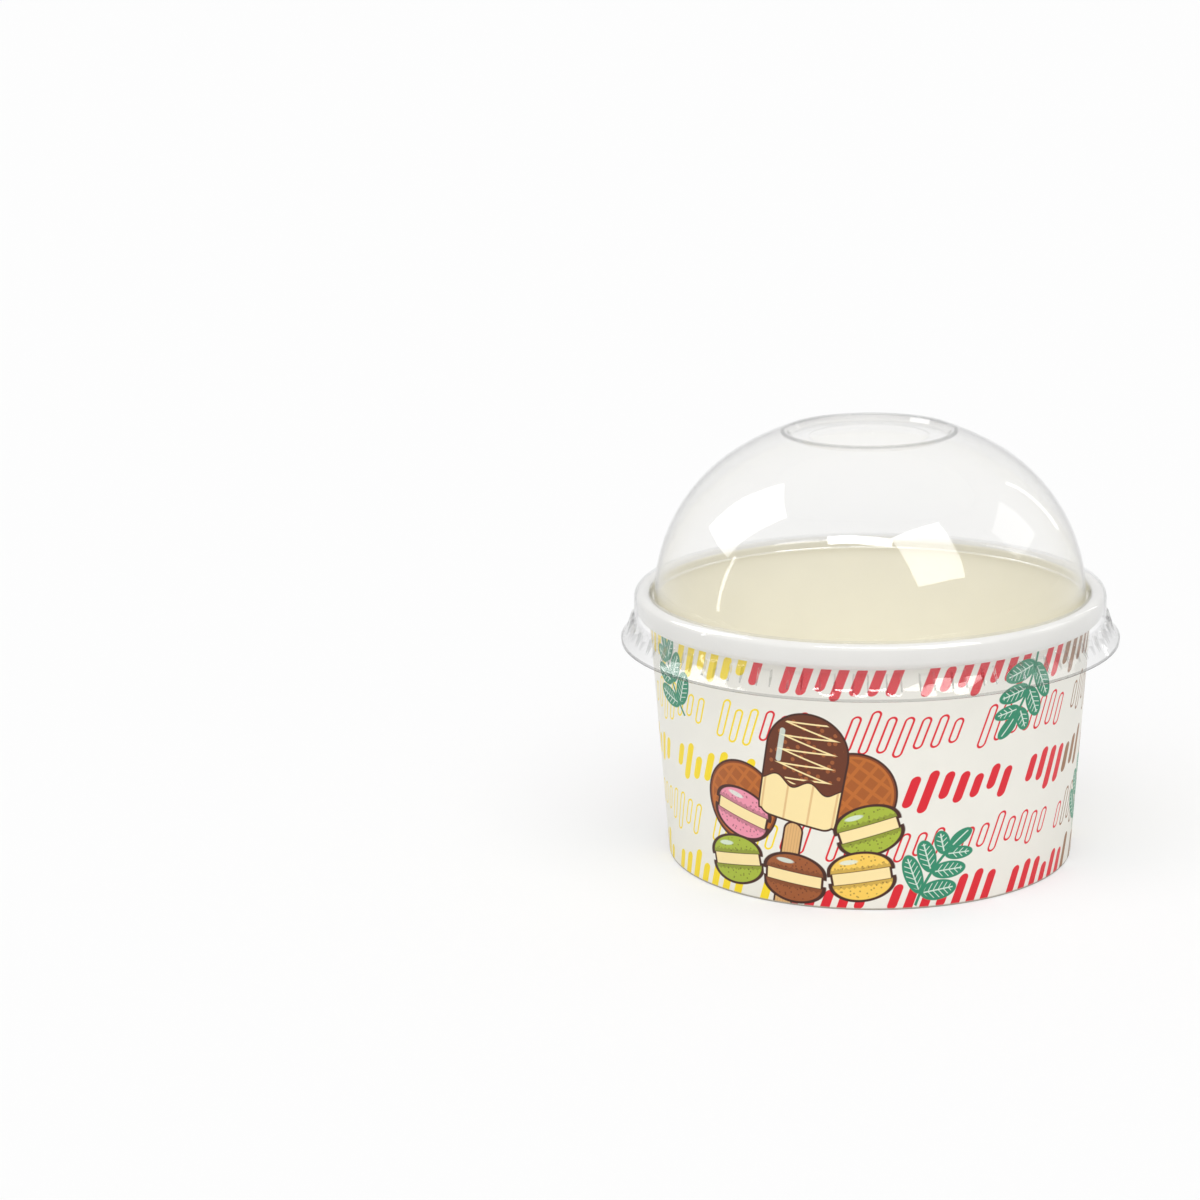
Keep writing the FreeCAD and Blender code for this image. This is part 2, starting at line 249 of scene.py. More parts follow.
def board(name, colour, roughness):
    """Coated board: fine fibre under a thin satin coat, a little uneven in tone and gloss"""
    material, shader, place, axes = finish(name)
    cloud = place.node("TexNoise", (), {"Vector": place, "Scale": CLOUD_SCALE, "Detail": 3.0})
    fibre = place.node(
        "TexNoise", (), {"Vector": place, "Scale": FIBRE_SCALE, "Detail": 5.0, "Roughness": 0.65}
    )
    relief = fibre + cloud * 2
    bump = place.node("Bump", (), {"Strength": 0.05, "Distance": 0.0002, "Height": relief})
    darker = (*[c * DARKEST for c in colour[:3]], 1)
    tint = (cloud * 1.2 + fibre * 0.35 - 0.35).clamped().mix(darker, colour)
    wire(
        shader,
        Base_Color=tint,
        Roughness=(fibre * 0.12 + cloud * 0.1 + roughness - 0.11).clamped(),
        Normal=bump,
        Specular_IOR_Level=0.4,
    )
    return material, shader, tint, axes


seam_low = up_wall(foot_r, foot_z, SEAM_MARGIN, foot_half)
seam_high = up_wall(
    foot_r,
    foot_z,
    (lower_z - lower_outer - foot_z) / math.cos(WALL_LEAN) - SEAM_MARGIN,
    foot_half,
)
bend_inner = foot_half - FOOT_CORNER
wall_outline = [
    up_wall(foot_r, foot_z, FOLD, -foot_half),
    *arc(at_height(-bend_inner, FOOT_CORNER), FOOT_CORNER, 180 - math.degrees(WALL_LEAN), 270, 6),
    *arc(at_height(bend_inner, FOOT_CORNER), FOOT_CORNER, 270, 360 - math.degrees(WALL_LEAN), 6),
    seam_low,
    seam_high,
    *arc((roll_r, roll_z), ROLL_OUTER - BOARD, 180 - math.degrees(WALL_LEAN), 0, 14),
    *arc((lower_r, lower_z), lower_outer - BOARD, 0, -180 - math.degrees(WALL_LEAN), 12),
    up_wall(lower_r, lower_z, TAIL, BOARD - lower_outer),
    up_wall(lower_r, lower_z, TAIL, -lower_outer),
    *arc((lower_r, lower_z), lower_outer, -180 - math.degrees(WALL_LEAN), 0, 18),
    *arc((roll_r, roll_z), ROLL_OUTER, 0, 180 - math.degrees(WALL_LEAN), 20),
    at_height(foot_half - BOARD, BOARD),
    at_height(BOARD - foot_half, BOARD),
    up_wall(foot_r, foot_z, FOLD, BOARD - foot_half),
    up_wall(foot_r, foot_z, FOLD, -foot_half),
]
wall = draw("printed_wall", wall_outline)
spin(360, WALL_STEPS)
close_turn(SAME_POINT)

seam_turn = math.tan(math.radians((SEAM_STEPS + 0.1) * 360 / WALL_STEPS))


def on_seam(place, normal):
    """The lapped strip down the back of the wall"""
    between = seam_low[1] * MM < place.z < seam_high[1] * MM
    return between and place.y > 0 and abs(place.x) < place.y * seam_turn and normal.y > 0.9


pick_faces(wall, on_seam)
bpy.ops.mesh.inset(thickness=SEAM_EDGE * MM, depth=SEAM_OUT * MM, use_even_offset=True)
smooth()

# Print on the outside of the wall, laid out flat in millimetres along the board and up it. One panel
# holds rows of leaning sprinkles, mint sprigs and a group of sweets, and goes twice round the cup.
PANEL = 135.0  # length of one panel, half the way round at mid height
PANEL_LEFT = -62.0
PAPER = shade(241, 239, 230)
INK = shade(66, 30, 18)
STROKE = 0.42

printed, printed_shader, design, (x, y, z) = board("printed_board", PAPER, 0.42)
around = x.maths("ARCTAN2", -y) * (PANEL / math.pi)
along = (around - PANEL_LEFT).maths("FLOORED_MODULO", PANEL) + PANEL_LEFT
flat = along.node("CombineXYZ", (), {0: along, 1: z})


def hypotenuse(a, b):
    """Length of the long side of a square corner, such as the distance from a point"""
    return (a * a + b * b).maths("SQRT")


def fold(way, half):
    """Goes up and down between 0 and half, so that a line repeats twice as far apart"""
    return way.maths("PINGPONG", half)


def turned(across, up, degrees):
    """The same place on a motif that is turned anticlockwise"""
    c, s = math.cos(math.radians(degrees)), math.sin(math.radians(degrees))
    return across * c + up * s, up * c - across * s


def bar(across, up, half, radius):
    """Distance outside a round-ended upright bar, less than 0 on it"""
    return hypotenuse(across, (abs(up) - half).maths("MAXIMUM", 0)) - radius


def oval(across, up, half_width, half_height):
    """Distance outside an oval, near enough"""
    return (hypotenuse(across / half_width, up / half_height) - 1) * min(half_width, half_height)


def inside(distance):
    """1 within an outline and 0 outside it, with an edge as soft as print on board"""
    return (0.5 - distance * 9).clamped()


def both(first, second):
    """Distance outside what two outlines have in common"""
    return first.maths("MAXIMUM", second)


def either(first, second):
    """Distance outside two outlines put together"""
    return first.maths("MINIMUM", second)


def placed(across, up, places):
    """Across and up from the middle of the nearest of several places, turned to the lean it has"""
    nearest = list(places[0][:3])
    for before, after in zip(places, places[1:]):
        past = across.maths("GREATER_THAN", (before[0] + after[0]) / 2)
        nearest = [past * (b - a) + value for value, a, b in zip(nearest, before, after)]
    centre, height, lean = nearest
    across, up = across - centre, up - height
    c, s = lean.maths("COSINE"), lean.maths("SINE")
    return across * c + up * s, up * c - across * s


# Rows of leaning bars, like sprinkles, filled and outlined by turns. They stand in groups of seven,
# yellow to the left of the sweets, then red, then brown.
ROW = 11.4  # from row to row
ROW_START = -3.6
ROW_SEED = 57
BAR_PITCH = PANEL / 40
BAR_RADIUS = 1.0
BAR_HALF = 1.3  # half the straight length of the shortest bar
BAR_GROWTH = 2.3  # how much more the longest one has
BAR_SHIFT = 1.6
BAR_LEAN = 0.36
GROUP = 8  # seven bars and the gap after them
GROUP_SHIFT = 3
YELLOW_END = -17.0
BROWN_START = 50.0
YELLOW = shade(249, 221, 32)
RED = shade(221, 26, 44)
BROWN = shade(150, 104, 66)

row = ((z - ROW_START) / ROW).maths("FLOOR")
up = z - ROW_START - (row + 0.5) * ROW
leaned = along - up * BAR_LEAN + row * (BAR_PITCH / 2)
count = (leaned / BAR_PITCH).maths("FLOOR")
bar_middle = (count + 0.5) * BAR_PITCH
chance, other_chance = (
    along.node("TexWhiteNoise", {"noise_dimensions": "1D"}, {"W": count + row * ROW_SEED + shift}, 0)
    for shift in (0, 0.5)
)
up = up - (other_chance - 0.5) * BAR_SHIFT
sprinkle = bar(leaned - bar_middle, up, chance * BAR_GROWTH + BAR_HALF, BAR_RADIUS)
outlined = row.maths("FLOORED_MODULO", 2)
outline = inside(abs(sprinkle + STROKE / 2) - STROKE / 2)
shown = (1 - outlined) * inside(sprinkle) + outlined * outline
place_in_group = (count + row * GROUP_SHIFT).maths("FLOORED_MODULO", GROUP)
shown = shown * place_in_group.maths("GREATER_THAN", 0.5)
tint = bar_middle.maths("GREATER_THAN", YELLOW_END).mix(YELLOW, RED)
tint = bar_middle.maths("GREATER_THAN", BROWN_START).mix(tint, BROWN)
design = shown.mix(design, tint)

# Mint sprigs, pairs of veined leaves on a bent stem with one more at its tip. Each leaf has the place
# of its foot, half its length and half its width, and each sprig its place and its lean in radians.
SPRIGS = [(-47, 41, 0.45), (13, 8, -0.6), (33, 42, 2.7), (61, 14, -0.3)]
LEAVES = [(-5.4, 4.1, 2.0), (-0.6, 3.6, 1.85), (3.8, 2.8, 1.5)]
LEAF_TILT = 52
TIP_LEAF = 8.2
TIP_HALF = (1.5, 2.7)
STEM_BEND = 0.018
STEM_LINE = 0.3
STEM_HALF = 8
VEIN_LINE = 0.13
VEIN_IN = 0.4
SIDE_VEIN_PITCH = 1.15
SIDE_VEIN_RISE = 0.8
SIDE_VEIN_LINE = 0.1
SIDE_VEIN_IN = 0.45
GREEN = shade(42, 138, 104)
VEIN = shade(226, 240, 228)

across, up = placed(along, z, SPRIGS)
across = across - up * up * STEM_BEND
side = abs(across)
leaves = oval(across, up - TIP_LEAF, *TIP_HALF)
veins = both(side - VEIN_LINE, leaves + VEIN_IN)
for foot, reach, width in LEAVES:
    out, up_leaf = turned(side, up - foot, -LEAF_TILT)
    out, up_leaf = abs(out), up_leaf - reach
    leaf = oval(out, up_leaf, width, reach)
    middle_vein = both(out - VEIN_LINE, leaf + VEIN_IN)
    to_side_vein = fold((up_leaf - out * SIDE_VEIN_RISE) / SIDE_VEIN_PITCH, 0.5) * SIDE_VEIN_PITCH
    side_veins = both(to_side_vein - SIDE_VEIN_LINE, leaf + SIDE_VEIN_IN)
    veins = either(veins, either(middle_vein, side_veins))
    leaves = either(leaves, leaf)
stem = both(side - STEM_LINE, abs(up) - STEM_HALF)
design = inside(either(leaves, stem)).mix(design, GREEN)
design = (inside(veins) * 0.9).mix(design, VEIN)

# Two round waffle biscuits, behind the other sweets.
BISCUITS = [(-27, 20, 0), (-3, 24, 0)]
BISCUIT_R = 8.2
BISCUIT_EDGE = 0.35
LATTICE_PITCH = 2.6
LATTICE_TURN = 52
LATTICE_LINE = 0.34
LATTICE_IN = 0.9
WAFER = shade(190, 106, 38)
WAFER_DARK = shade(134, 64, 20)

across, up = placed(along, z, BISCUITS)
biscuit = hypotenuse(across, up) - BISCUIT_R
ways = turned(across, up, LATTICE_TURN)
lattice = either(*[fold(way / LATTICE_PITCH, 0.5) * LATTICE_PITCH for way in ways])
pressed = both(biscuit + LATTICE_IN, LATTICE_LINE - lattice)
design = inside(biscuit - STROKE).mix(design, INK)
design = inside(biscuit).mix(design, WAFER_DARK)
design = inside(biscuit + BISCUIT_EDGE).mix(design, WAFER)
design = (inside(pressed) * 0.45).mix(design, WAFER_DARK)

# Macarons, some behind the lolly and some in front of its stick. Each place has a lean in radians and
# the colour of the shells.
MACARON_SCALE = 1.22
SHELL_HALF = (5.0, 2.9)
FILLING_HALF = (4.75, 1.0)
FILLING_LINE = 0.05
RUFFLE_TOP = 1.5
RUFFLE_DEPTH = 0.7
RUFFLE_RATE = 1.1
SHINE_PLACE = (-1.7, 2.7)
SHINE_HALF = (1.5, 0.4)
CRUMB_SCALE = 0.9
PINK = shade(238, 150, 172)
LIME = shade(168, 186, 58)
LEMON = shade(248, 206, 92)
CHOCOLATE_LIGHT = shade(158, 88, 44)
VANILLA = shade(252, 230, 170)
BEHIND = [(-27, 17.6, -0.25, PINK), (0, 16.6, 0.3, LIME)]
IN_FRONT = [(-29, 7.5, 0.15, LIME), (-15.5, 5.8, -0.1, CHOCOLATE_LIGHT), (-1.5, 7, 0.16, LEMON)]


def macarons(below, places):
    """Two domed shells with a filling between them, in the colour of each place"""
    across, up = (way / MACARON_SCALE for way in placed(along, z, places))
    tint = places[0][3]
    for before, after in zip(places, places[1:]):
        tint = along.maths("GREATER_THAN", (before[0] + after[0]) / 2).mix(tint, after[3])
    away = abs(up)
    half_filling = FILLING_HALF[1]
    dome = oval(across, away - half_filling, *SHELL_HALF)
    shell = both(dome, half_filling - FILLING_LINE - away)
    filling = both(abs(across) - FILLING_HALF[0], away - half_filling)
    ruffle = both(shell, away - RUFFLE_TOP - fold(across * RUFFLE_RATE, 0.5) * RUFFLE_DEPTH)
    shine = oval(across - SHINE_PLACE[0], up - SHINE_PLACE[1], *SHINE_HALF)
    crumb = along.node(
        "TexVoronoi", {"voronoi_dimensions": "2D"}, {"Vector": flat, "Scale": CRUMB_SCALE}
    )
    below = inside(either(shell, filling) - STROKE).mix(below, INK)
    below = inside(filling).mix(below, VANILLA)
    below = inside(shell).mix(below, tint)
    below = (inside(shell + 0.3) * inside(crumb * 3 - 0.5) * 0.5).mix(below, INK)
    below = (inside(ruffle) * 0.35).mix(below, INK)
    below = inside(both(shell, away - half_filling - FILLING_LINE)).mix(below, INK)
    return (inside(shine) * 0.8).mix(below, VEIN)


design = macarons(design, BEHIND)

# An ice lolly on a wooden stick, with grooves down the ice. It is dipped in chocolate with nuts and
# has a thin zigzag over it. Its sizes are the middle, half the length and the radius.
LOLLY_PLACE = (-15, 17)
LOLLY_LEAN = -11
STICK = (-9.5, 8.0, 1.7)
ICE = (9.0, 6.0, 8.0)
ICE_FOOT = (3.0, 5.6, 2.4)
ICE_END = 1.4
ICE_GROOVE_PITCH = 5
ICE_GROOVE_LINE = 0.22
DIP_EDGE = 8.6
DIP_WAVE = 0.9
ZIGZAG_RATE = 0.34
ZIGZAG_WIDTH = 20
ZIGZAG_SLANT = 0.28
ZIGZAG_LINE = 0.3
NUT_SCALE = 0.55
GRAIN_RATE = 1.7
GRAIN_LINE = 0.08
GLINT = (15.5, 3.0, 0.55)
GLINT_LEFT = 5.4
CHOCOLATE = shade(104, 50, 24)
WOOD = shade(226, 180, 118)

across, up = turned(along - LOLLY_PLACE[0], z - LOLLY_PLACE[1], LOLLY_LEAN)
stick = bar(across, up - STICK[0], *STICK[1:])
grain = both(stick, fold(across * GRAIN_RATE, 0.5) - GRAIN_LINE)
ice = both(bar(across, up - ICE[0], *ICE[1:]), ICE_END - up)
ice = either(ice, bar(up - ICE_FOOT[0], across, *ICE_FOOT[1:]))
to_groove = fold(across / ICE_GROOVE_PITCH + 0.5, 0.5) * ICE_GROOVE_PITCH
grooves = both(ice, to_groove - ICE_GROOVE_LINE)
dipped = both(ice, DIP_EDGE + (across * 0.9).maths("SINE") * DIP_WAVE - up)
from_zigzag = abs(across - (fold(up * ZIGZAG_RATE, 0.5) - 0.25) * ZIGZAG_WIDTH)
zigzag = from_zigzag * ZIGZAG_SLANT - ZIGZAG_LINE
nuts = along.node("TexVoronoi", {"voronoi_dimensions": "2D"}, {"Vector": flat, "Scale": NUT_SCALE})
glint = bar(across + GLINT_LEFT, up - GLINT[0], *GLINT[1:])
design = inside(stick - STROKE).mix(design, INK)
design = inside(stick).mix(design, WOOD)
design = (inside(grain) * 0.35).mix(design, WAFER_DARK)
design = inside(ice - STROKE).mix(design, INK)
design = inside(ice).mix(design, VANILLA)
design = (inside(grooves) * 0.4).mix(design, WAFER)
design = inside(dipped - 0.3).mix(design, INK)
design = inside(dipped).mix(design, CHOCOLATE)
design = inside(both(dipped + 0.6, nuts * 2 - 0.45)).mix(design, CHOCOLATE_LIGHT)
design = inside(both(dipped + 0.5, zigzag)).mix(design, VANILLA)
design = (inside(glint) * 0.75).mix(design, VEIN)
design = macarons(design, IN_FRONT)

# The board's raw edge shows down the seam, and a painted shadow darkens the wall's lowest half
# millimetre, where it meets the table.
RAW_EDGE_AND_FOOT_SHADE = shade(168, 162, 150)
LAP_LINE = 0.14
FOOT_SHADE_HEIGHT = 0.55

lap_place = (180 - SEAM_STEPS * 360 / WALL_STEPS) * PANEL / 180
design = (inside(abs(around - lap_place) - LAP_LINE) * 0.7).mix(design, RAW_EDGE_AND_FOOT_SHADE)
# Painted shadow: the printed side turns grey towards its foot, standing in for the contact shadow on
# the table.
design = ((FOOT_SHADE_HEIGHT - z) * 4).clamped().mix(design, RAW_EDGE_AND_FOOT_SHADE)
wire(printed_shader, Base_Color=design)

# The inside is bare cream board, and the rolled rim is coated white.
CREAM = shade(251, 247, 230)
RIM = shade(239, 238, 234)
RIM_MARGIN = 0.2

wall.data.materials.append(printed)
wall.data.materials.append(board("cream_board", CREAM, 0.5)[0])
wall.data.materials.append(board("rolled_board", RIM, 0.38)[0])
printed_side, cream_side, rolled_rim = range(3)
rim_under = (lower_z - lower_outer - RIM_MARGIN) * MM
rim_inner = (roll_r - ROLL_OUTER + RIM_MARGIN) * MM
for face in wall.data.polygons:
    if face.center.z > rim_under and face.center.xy.length > rim_inner:
        face.material_index = rolled_rim
    elif face.normal.xy.dot(face.center.xy) > 0:
        face.material_index = printed_side
    else:
        face.material_index = cream_side
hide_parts("cup_sidewall")
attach(wall, "cup")

# Bottom. A second disc of board, cream on top, has its edge bent down into a skirt that is sealed
# between the wall and the turned-in foot, a few millimetres above the table.
RECESS = 7.0
DISC_BEND = 0.8
SKIRT_LIFT = 0.3
CREASE_IN = 0.3
CREASE_SHOWS = 0.6
GLUE_LINE = shade(196, 168, 112)

disc_top = RECESS + DISC_BOARD
bend_in = DISC_BEND - DISC_BOARD / 2
bend_along = (disc_top - DISC_BEND - foot_z - bend_in * math.sin(WALL_LEAN)) / math.cos(WALL_LEAN)
bend_centre = up_wall(foot_r, foot_z, bend_along, -bend_in)
disc_outline = [
    (0, disc_top),
    (bend_centre[0] / 2, disc_top),
    *arc(bend_centre, DISC_BEND, 90, -math.degrees(WALL_LEAN), 8),
    up_wall(foot_r, foot_z, SKIRT_LIFT, DISC_BOARD / 2),
    up_wall(foot_r, foot_z, SKIRT_LIFT, -DISC_BOARD / 2),
    *arc(bend_centre, DISC_BEND - DISC_BOARD, -math.degrees(WALL_LEAN), 90, 6),
    (bend_centre[0] / 2, RECESS),
    (0, RECESS),
]
disc = draw("cream_bottom", disc_outline)
spin(360, WALL_STEPS)
close_turn(SAME_POINT)
smooth()
bottom, bottom_shader, tint, (x, y, z) = board("bottom_board", CREAM, 0.5)
crease = (hypotenuse(x, y) - bend_centre[0] - CREASE_IN) * 3
wire(bottom_shader, Base_Color=(crease.clamped() * CREASE_SHOWS).mix(tint, GLUE_LINE))
disc.data.materials.append(bottom)
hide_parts("bottom_disc")
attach(disc, "cup")

# Lid. One clear sheet, formed hot over a mould: a dome with a hole in its top, a channel that goes
# over the rim, and a flared skirt with a ring of small pads, each pressed out of the same sheet.
SHEET = 0.3  # thickness
LID_CLEARANCE = 0.25  # between the sheet and the rim
DOME_SEAT = 1.9  # from the cup's top down to the dome's foot
DOME_RISE = 37.3  # height of the dome, if it went on over the hole
DOME_FLATNESS = 2.5  # how much less the radius of its side is than its height
CREST_R = 16.9  # reach of the ring on the dome's top
CREST_BEND = 0.8
RECESS_DEPTH = 1.2  # from the top of that ring down to the flat round the hole
RECESS_BEND = 0.5
RECESS_SLOPE = 50
HOLE_R = 12.0
GROOVE = 0.35 / 2  # radius of the bend between the dome and the channel
SKIRT = [(0, 4.7), (0.4, 6.7), (1.7, 8.4), (2.75, 9.5), (2.75, 10.1)]  # out from the rim, and down
PAD_COUNT = 48
PAD_TURN = 3.7  # width of a pad, in degrees round the skirt
PAD_FIRST = 5.6
PAD_STEP = 0.8  # how far its top stands out of the channel's wall
PAD_TOP = 0.5  # from the skirt's start down to the pad
PAD_LEDGE = 0.3
PAD_SIDE = 0.3
PAD_STEPS = (1, 4, 1, 4)
CLOSE = 0.02
MOST_SHINE = 0.94

cup_top = wall_high.z / MM
shoulder = ROLL_OUTER + LID_CLEARANCE + SHEET
channel_r = roll_r + shoulder
groove_r = roll_r - shoulder - GROOVE
dome_r = groove_r - GROOVE
dome_z = cup_top - DOME_SEAT
side_bend = DOME_RISE - DOME_FLATNESS
side_r = dome_r - side_bend
top_bend = (side_r**2 + DOME_RISE**2 - side_bend**2) / (2 * DOME_FLATNESS)
top_z = dome_z + DOME_RISE - top_bend
dome_join = math.degrees(math.atan2(dome_z - top_z, side_r))
crest_reach = top_bend - CREST_BEND
crest_z = top_z + math.sqrt(crest_reach**2 - CREST_R**2)
crest_join = math.degrees(math.acos(CREST_R / crest_reach))
hole_z = crest_z + CREST_BEND - RECESS_DEPTH
step = math.radians(RECESS_SLOPE)
step_run = (CREST_BEND + RECESS_BEND) * (1 - math.cos(step)) + RECESS_DEPTH * math.cos(step)
recess_r = CREST_R - step_run / math.sin(step)
skirt = [(channel_r + out, cup_top - drop) for out, drop in SKIRT]
pad_z = skirt[0][1] - PAD_TOP
pad_slope = (skirt[1][0] - skirt[0][0]) / (skirt[0][1] - skirt[1][1])
ledge_z = pad_z - PAD_LEDGE
ledge_r = channel_r + PAD_STEP
lid_outline = [
    (HOLE_R, hole_z),
    *arc((recess_r, hole_z + RECESS_BEND), RECESS_BEND, 270, 270 + RECESS_SLOPE, 4),
    *arc((CREST_R, crest_z), CREST_BEND, 90 + RECESS_SLOPE, crest_join, 6),
    *arc((0, top_z), top_bend, crest_join, dome_join, 18)[1:],
    *arc((side_r, dome_z), side_bend, dome_join, 0, 14)[1:],
    *arc((groove_r, dome_z), GROOVE, 180, 360, 6)[1:],
    *arc((roll_r, roll_z), shoulder, 180, 0, 20),
    skirt[0],
    (skirt[0][0] + pad_slope * PAD_TOP, pad_z),
    (skirt[0][0] + pad_slope * (PAD_TOP + PAD_LEDGE), ledge_z),
    skirt[1],
    skirt[2],
    skirt[3],
    skirt[4],
]
lid = draw("clear_dome", lid_outline)
pitch = 360 / PAD_COUNT
sides = [0, PAD_SIDE, PAD_TURN - PAD_SIDE, PAD_TURN, pitch]
first_turn = -90 + PAD_FIRST - PAD_TURN / 2
bpy.ops.transform.rotate(
    value=-math.radians(first_turn), orient_axis="Z", center_override=(0, 0, 0)
)
for start, stop, steps in zip(sides, sides[1:], PAD_STEPS):
    spin(stop - start, steps)
bpy.ops.mesh.select_all(action="SELECT")
bpy.ops.mesh.remove_doubles(threshold=SAME_POINT)
bpy.ops.object.mode_set(mode="OBJECT")
face_slope = (skirt[2][0] - ledge_r) / (ledge_z - skirt[2][1])
for vertex in lid.data.vertices:
    turn = math.degrees(math.atan2(vertex.co.y, vertex.co.x)) - first_turn
    height = vertex.co.z / MM
    raised = PAD_SIDE * 0.9 < turn < PAD_TURN - PAD_SIDE * 0.9
    if raised and skirt[2][1] + CLOSE < height < ledge_z + CLOSE:
        reach = ledge_r + face_slope * (ledge_z - height)
        vertex.co.xy *= reach * MM / vertex.co.xy.length
bpy.ops.object.mode_set(mode="EDIT")
bpy.ops.mesh.select_all(action="SELECT")
spin(360 - pitch, PAD_COUNT - 1, copies=True)
close_turn(5 * SAME_POINT)
bpy.ops.object.mode_set(mode="OBJECT")
thickness = lid.modifiers.new("sheet", "SOLIDIFY")
thickness.thickness = SHEET * MM
thickness.offset = -1
thickness.use_even_offset = True
bpy.ops.object.modifier_apply(modifier="sheet")
smooth()


def clear_sheet(name, straight, slanting, onset, least_shine):
    """Clear plastic: it dims what is behind it, more where it is seen at a slant, and shines"""
    material, shader, place, _ = finish(name)
    tree = material.node_tree
    tree.nodes.remove(shader)
    drawn = place.node("TexNoise", (), {"Vector": place, "Scale": 0.05, "Detail": 2.0})
    ripple = place.node("Bump", (), {"Strength": 0.15, "Distance": 0.001, "Height": drawn})
    facing = place.node("LayerWeight", (), {"Blend": 0.5}, 1)
    thin = place.node("BsdfTransparent", (), {"Color": (*[straight] * 3, 1)})
    deep = place.node("BsdfTransparent", (), {"Color": (*[slanting] * 3, 1)})
    through = place.node("MixShader", (), {0: facing**onset, 1: thin, 2: deep})
    white = (1, 1, 1, 1)
    gloss = place.node("BsdfAnisotropic", (), {"Color": white, "Roughness": 0.04, "Normal": ripple})
    shine = facing**5 * (MOST_SHINE - least_shine) + least_shine
    mixed = place.node("MixShader", (), {0: shine, 1: through, 2: gloss})
    tree.links.new(mixed.socket, tree.nodes["Material Output"].inputs["Surface"])
    return material


# The sheet's finish by place: how much it lets through straight on and at a slant, how late it turns
# from one to the other, and how much it shines straight on. Two of them are painted shade: the pads'
# sides, the crest's outer bend and the lip let less through, and the cut edge far less, to stand for
# the dark lines that light makes on steep clear plastic.
FINISHES = {
    "clear_lid": (0.985, 0.6, 8, 0.04),
    "clear_ring": (0.99, 0.97, 3, 0.04),
    "bright_fold": (0.99, 0.97, 3, 0.3),
    "clear_skirt": (0.985, 0.71, 3, 0.04),
    "painted_shade_lines": (0.84, 0.48, 3, 0.04),
    "shaded_sheet_end": (0.5, 0.35, 3, 0.04),
}
for name, look in FINISHES.items():
    lid.data.materials.append(clear_sheet(name, *look))
dome_finish, ring_finish, fold_finish, skirt_finish, shade_line_finish, shaded_cut_finish = range(len(FINISHES))
for face in lid.data.polygons:
    reach, height = face.center.xy.length / MM, face.center.z / MM
    turn = (math.degrees(math.atan2(face.center.y, face.center.x)) - first_turn) % pitch
    side_of_pad = turn < PAD_SIDE or PAD_TURN - PAD_SIDE < turn < PAD_TURN
    # Painted shade: the cut edge, the lip, the sides of the pads and the crest's outer bend get the
    # darker finishes.
    if height < skirt[4][1] + CLOSE:
        face.material_index = shaded_cut_finish
    elif height < skirt[3][1] or (side_of_pad and skirt[2][1] < height < ledge_z):
        face.material_index = shade_line_finish
    elif CREST_R + CREST_BEND / 8 < reach < CREST_R + CREST_BEND:
        face.material_index = shade_line_finish
    elif height < skirt[0][1] or reach < HOLE_R + CLOSE:
        face.material_index = skirt_finish
    elif height < dome_z and abs(reach - groove_r) < GROOVE + SHEET + CLOSE:
        face.material_index = fold_finish
    elif reach < recess_r:
        face.material_index = ring_finish
    else:
        face.material_index = dome_finish
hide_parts("dome_lid")
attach(lid, "lid")

# Floor. A plain pale table top. To the eye it shows nearly as white as the surround, under the cup's
# soft shadow.
FLOOR = shade(243, 243, 243)
FLOOR_SIDE = 20
SEEN_WHITE = 0.985
WHITE_SHARE = 0.46

bpy.ops.object.select_all(action="DESELECT")
bpy.ops.mesh.primitive_plane_add(size=FLOOR_SIDE)
floor = bpy.context.object
floor.name = "table_top"
table, table_shader, place, _ = finish("pale_table")
tree = table.node_tree
wire(table_shader, Base_Color=FLOOR, Roughness=0.9, Specular_IOR_Level=0.0)
glow = place.node("Emission", (), {"Color": (1, 1, 1, 1), "Strength": SEEN_WHITE})
share = place.node("LightPath", output="Is Camera Ray") * WHITE_SHARE
mixed = place.node("MixShader", (), {0: share, 1: Tone(table_shader.outputs[0]), 2: glow})
tree.links.new(mixed.socket, tree.nodes["Material Output"].inputs["Surface"])
floor.data.materials.append(table)

# Camera, at the photograph's viewing angle and distance.
CAMERA_PLACE = (0, -0.6702, 0.2209)
YAW = math.radians(4.660)
DOWN = math.radians(14.110)
ROLL = math.radians(-1.120)
SENSOR = 36
FOCAL_LENGTH = 3404.7  # in the photograph's pixels, as its side is
PHOTO_SIDE = 1200

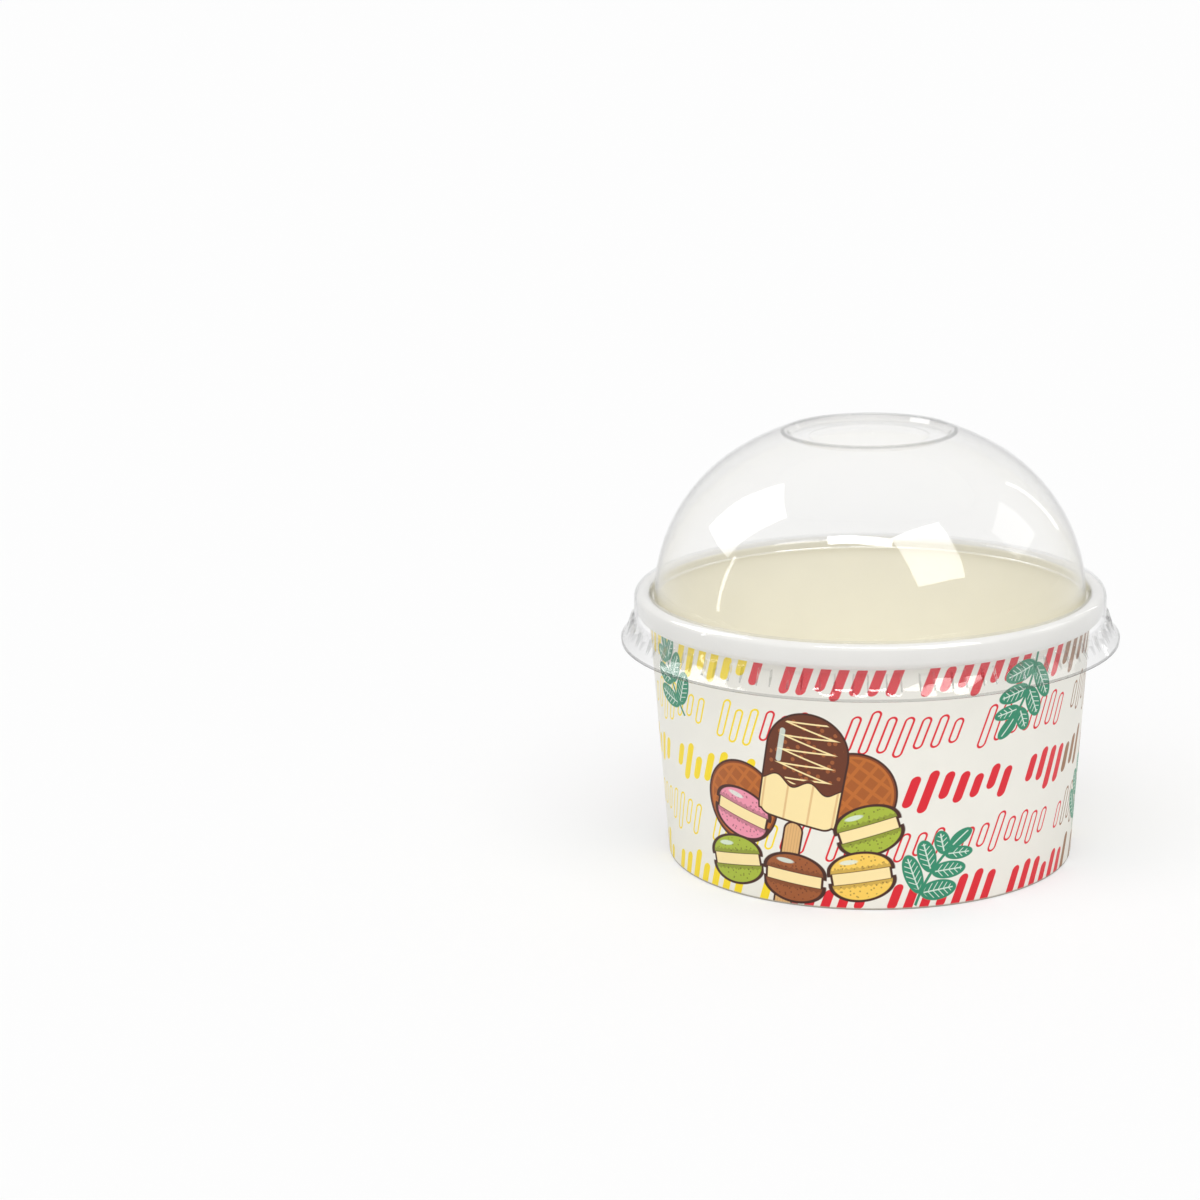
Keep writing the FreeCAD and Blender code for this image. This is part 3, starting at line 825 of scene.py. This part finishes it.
bpy.ops.object.camera_add(location=CAMERA_PLACE)
camera = bpy.context.object
camera.rotation_euler = (
    Matrix.Rotation(YAW, 3, "Z")
    @ Matrix.Rotation(math.pi / 2 - DOWN, 3, "X")
    @ Matrix.Rotation(ROLL, 3, "Z")
).to_euler()
camera.data.sensor_width = SENSOR
camera.data.lens = SENSOR * FOCAL_LENGTH / PHOTO_SIDE
bpy.context.scene.camera = camera

# Studio. A soft even surround with a few softboxes, which the clear lid shows as bright patches.
SURROUND = 0.6
IN_GLOSS = 0.96
AIM = Vector((0, 0, 0.04))
DAYLIGHT_FROM = Vector((0, -0.5, 1))

world = bpy.data.worlds.new("studio")
bpy.context.scene.world = world
world.use_nodes = True
sky = world.node_tree.nodes["Background"]
eye, gloss = (
    Tone(sky.outputs[0]).node("LightPath", output=f"Is {ray} Ray") for ray in ("Camera", "Glossy")
)
level = eye * (SEEN_WHITE - SURROUND) + gloss * (IN_GLOSS - SURROUND) + SURROUND
wire(sky, Color=(1, 1, 1, 1), Strength=level)


def softbox(name, azimuth, elevation, distance, size, power):
    """A flat light that faces the cup, azimuth 0 in front and 90 to the right, in metres and watts"""
    a, e = math.radians(azimuth), math.radians(elevation)
    way = Vector((math.sin(a) * math.cos(e), -math.cos(a) * math.cos(e), math.sin(e)))
    bpy.ops.object.light_add(type="AREA", location=AIM + way * distance)
    light = bpy.context.object
    light.name = name
    light.data.shape = "RECTANGLE"
    light.data.size, light.data.size_y = size
    light.data.energy = power
    light.rotation_euler = way.to_track_quat("Z", "Y").to_euler()
    light.visible_diffuse = False


softbox("left_softbox", -104, 41, 1.0, (0.47, 0.62), 3.0)
softbox("front_softbox", 42, 43, 1.0, (0.47, 0.62), 3.6)
softbox("lamp_row", -8, 57, 1.0, (0.52, 0.09), 1.5)
softbox("left_strip", -85, 12, 1.0, (0.03, 0.5), 0.25)
softbox("right_softbox", 106, 30, 1.2, (0.5, 0.4), 0.6)
softbox("right_strip", 140, 19, 1.2, (0.03, 0.5), 0.12)
bpy.ops.object.light_add(type="SUN")
daylight = bpy.context.object
daylight.data.angle = math.radians(75)
daylight.data.energy = 1.75
daylight.rotation_euler = DAYLIGHT_FROM.to_track_quat("Z", "Y").to_euler()
daylight.visible_glossy = False
bpy.context.scene.cycles.transparent_max_bounces = 24
bpy.context.scene.view_settings.view_transform = "Standard"
